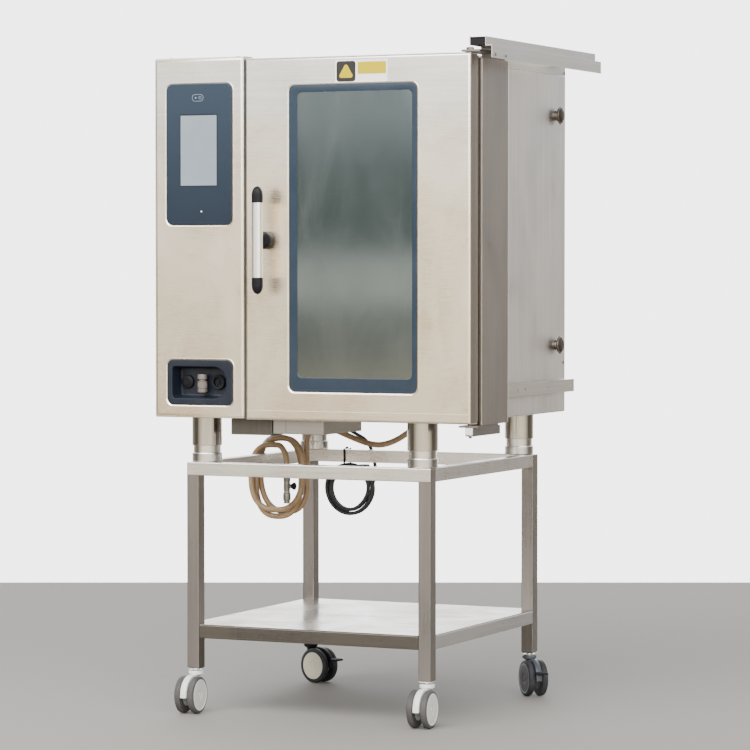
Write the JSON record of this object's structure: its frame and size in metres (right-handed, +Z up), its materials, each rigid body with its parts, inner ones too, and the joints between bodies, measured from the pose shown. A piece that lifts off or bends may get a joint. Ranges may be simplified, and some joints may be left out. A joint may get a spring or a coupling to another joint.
{
  "type": "combi steamer oven",
  "caption": "Combi steamer oven with a glass door on side pivots and a recess carriage, control column, hose recess and open tube stand on twin-wheel casters",
  "frame": {"origin": "on the floor, at the middle of the footprint of everything except the hose and cable", "axes": "+Z up, +Y towards the back of the oven, +X to the right as seen from the front"},
  "size_m": [0.962, 0.8985, 1.761],
  "materials": {
    "satin_steel": "fine brushed stainless sheet",
    "liner_steel": "bright stainless sheet",
    "frame_steel": "brushed stainless tube and bracket",
    "bright_metal": "polished, nickel bright",
    "rack_wire": "polished stainless rod",
    "element_steel": "dull nickel alloy sheath",
    "blue_panel": "dark blue printed front, satin",
    "screen": "pale backlit screen",
    "dark_plastic": "fine matt",
    "grey_plastic": "fine matt",
    "white_plastic": "moulded nylon",
    "outer_pane": "clear pane with a dark blue printed border",
    "inner_pane": "clear pane",
    "gasket_rubber": "silicone, matt",
    "tyre_rubber": "solid grey-brown tread",
    "hose_cover": "reinforced tan hose",
    "cable_sheath": "flexible rubber sheath",
    "fitting_metal": "dull plated fitting"
  },
  "bodies": {
    "cabinet": {"casing_left": "satin_steel", "casing_right": "satin_steel", "casing_top": "satin_steel", "casing_rear": "satin_steel", "exhaust_vent": "satin_steel", "base_frame": "frame_steel", "service_box": "satin_steel", "column_front": "satin_steel", "control_bezel": "blue_panel", "display": "screen", "recess_tub": "dark_plastic", "coupling_body": "bright_metal", "cooking_cavity": "liner_steel", "cavity_gasket": "gasket_rubber", "suction_panel": "liner_steel", "fan_motor": "dark_plastic", "heating_element": "element_steel", "rack_left": "rack_wire", "rack_right": "rack_wire", "drain_outlet": "grey_plastic", "carriage_post": "satin_steel", "hinge_arm_top": "frame_steel", "hinge_arm_bottom": "frame_steel", "top_rail": "satin_steel", "guide_rail": "satin_steel", "bumper_upper": "bright_metal", "bumper_lower": "bright_metal", "stand_frame": "frame_steel", "stand_shelf": "satin_steel", "hose_run": "hose_cover", "hose_coil": "hose_cover", "hose_valve": "fitting_metal", "cable_run": "cable_sheath", "cable_coil": "cable_sheath", "cable_tie": "dark_plastic", "cable_plug": "cable_sheath"},
    "power_button": {"power_button": "blue_panel"},
    "coupling_sleeve": {"coupling_sleeve": "bright_metal"},
    "fan": {"fan_wheel": "liner_steel"},
    "door": {"door_shell": "satin_steel", "door_liner": "liner_steel", "outer_glass": "outer_pane", "inner_glass": "inner_pane"},
    "handle": {"handle_core": "dark_plastic", "handle_grip": "satin_steel", "door_latch": "satin_steel"},
    "foot_front_left": {"foot_front_left": "bright_metal"},
    "caster_front_left": {"caster_front_left": "white_plastic"},
    "wheels_front_left": {"wheels_front_left": "tyre_rubber"},
    "foot_front_right": {"foot_front_right": "bright_metal"},
    "caster_front_right": {"caster_front_right": "white_plastic"},
    "wheels_front_right": {"wheels_front_right": "tyre_rubber"},
    "foot_rear_left": {"foot_rear_left": "bright_metal"},
    "caster_rear_left": {"caster_rear_left": "dark_plastic"},
    "wheels_rear_left": {"wheels_rear_left": "tyre_rubber"},
    "foot_rear_right": {"foot_rear_right": "bright_metal"},
    "caster_rear_right": {"caster_rear_right": "dark_plastic"},
    "wheels_rear_right": {"wheels_rear_right": "tyre_rubber"},
    "brake_rear_left": {"brake_rear_left": "dark_plastic"},
    "brake_rear_right": {"brake_rear_right": "dark_plastic"}
  },
  "joints": [
    {"name": "door_hinge", "type": "hinge", "parent": "cabinet", "child": "door", "pos_m": [0.414, -0.355, 1.25], "axis": [0, 0, 1], "range_deg": [0, 90]},
    {"name": "handle_turn", "type": "hinge", "parent": "door", "child": "handle", "pos_m": [-0.147, -0.38, 1.25], "axis": [0, 1, 0], "range_deg": [0, 90]},
    {"name": "power_button_press", "type": "slide", "parent": "cabinet", "child": "power_button", "axis": [0, 1, 0], "range_m": [0, 0.0015], "stiffness_N_per_m": 1200},
    {"name": "coupling_sleeve_slide", "type": "slide", "parent": "cabinet", "child": "coupling_sleeve", "axis": [0, 0, 1], "range_m": [0, 0.004], "stiffness_N_per_m": 900},
    {"name": "fan_spin", "type": "hinge", "parent": "cabinet", "child": "fan", "pos_m": [-0.151, 0, 1.257], "axis": [1, 0, 0], "continuous": true},
    {"name": "caster_swivel_front_left", "type": "hinge", "parent": "cabinet", "child": "caster_front_left", "pos_m": [-0.3965, -0.3095, 0.1], "axis": [0, 0, 1], "continuous": true},
    {"name": "wheel_roll_front_left", "type": "hinge", "parent": "caster_front_left", "child": "wheels_front_left", "pos_m": [-0.39477, -0.34245, 0.049], "axis": [0.9986, 0.0523, 0], "continuous": true},
    {"name": "foot_height_front_left", "type": "slide", "parent": "cabinet", "child": "foot_front_left", "axis": [0, 0, 1], "range_m": [0, 0.018]},
    {"name": "caster_swivel_front_right", "type": "hinge", "parent": "cabinet", "child": "caster_front_right", "pos_m": [0.2755, -0.3095, 0.1], "axis": [0, 0, 1], "continuous": true},
    {"name": "wheel_roll_front_right", "type": "hinge", "parent": "caster_front_right", "child": "wheels_front_right", "pos_m": [0.27723, -0.34245, 0.049], "axis": [0.9986, 0.0523, 0], "continuous": true},
    {"name": "foot_height_front_right", "type": "slide", "parent": "cabinet", "child": "foot_front_right", "axis": [0, 0, 1], "range_m": [0, 0.018]},
    {"name": "caster_swivel_rear_left", "type": "hinge", "parent": "cabinet", "child": "caster_rear_left", "pos_m": [-0.3965, 0.3855, 0.1], "axis": [0, 0, 1], "continuous": true},
    {"name": "wheel_roll_rear_left", "type": "hinge", "parent": "caster_rear_left", "child": "wheels_rear_left", "pos_m": [-0.36512, 0.3753, 0.049], "axis": [0.309, 0.9511, 0], "continuous": true},
    {"name": "brake_press_rear_left", "type": "hinge", "parent": "caster_rear_left", "child": "brake_rear_left", "pos_m": [-0.32897, 0.36356, 0.069], "axis": [0.309, 0.9511, 0], "range_deg": [0, 18]},
    {"name": "foot_height_rear_left", "type": "slide", "parent": "cabinet", "child": "foot_rear_left", "axis": [0, 0, 1], "range_m": [0, 0.018]},
    {"name": "caster_swivel_rear_right", "type": "hinge", "parent": "cabinet", "child": "caster_rear_right", "pos_m": [0.2755, 0.3855, 0.1], "axis": [0, 0, 1], "continuous": true},
    {"name": "wheel_roll_rear_right", "type": "hinge", "parent": "caster_rear_right", "child": "wheels_rear_right", "pos_m": [0.29758, 0.36098, 0.049], "axis": [0.7431, 0.6691, 0], "continuous": true},
    {"name": "brake_press_rear_right", "type": "hinge", "parent": "caster_rear_right", "child": "brake_rear_right", "pos_m": [0.32301, 0.33274, 0.069], "axis": [0.7431, 0.6691, 0], "range_deg": [0, 18]},
    {"name": "foot_height_rear_right", "type": "slide", "parent": "cabinet", "child": "foot_rear_right", "axis": [0, 0, 1], "range_m": [0, 0.018]}
  ]
}
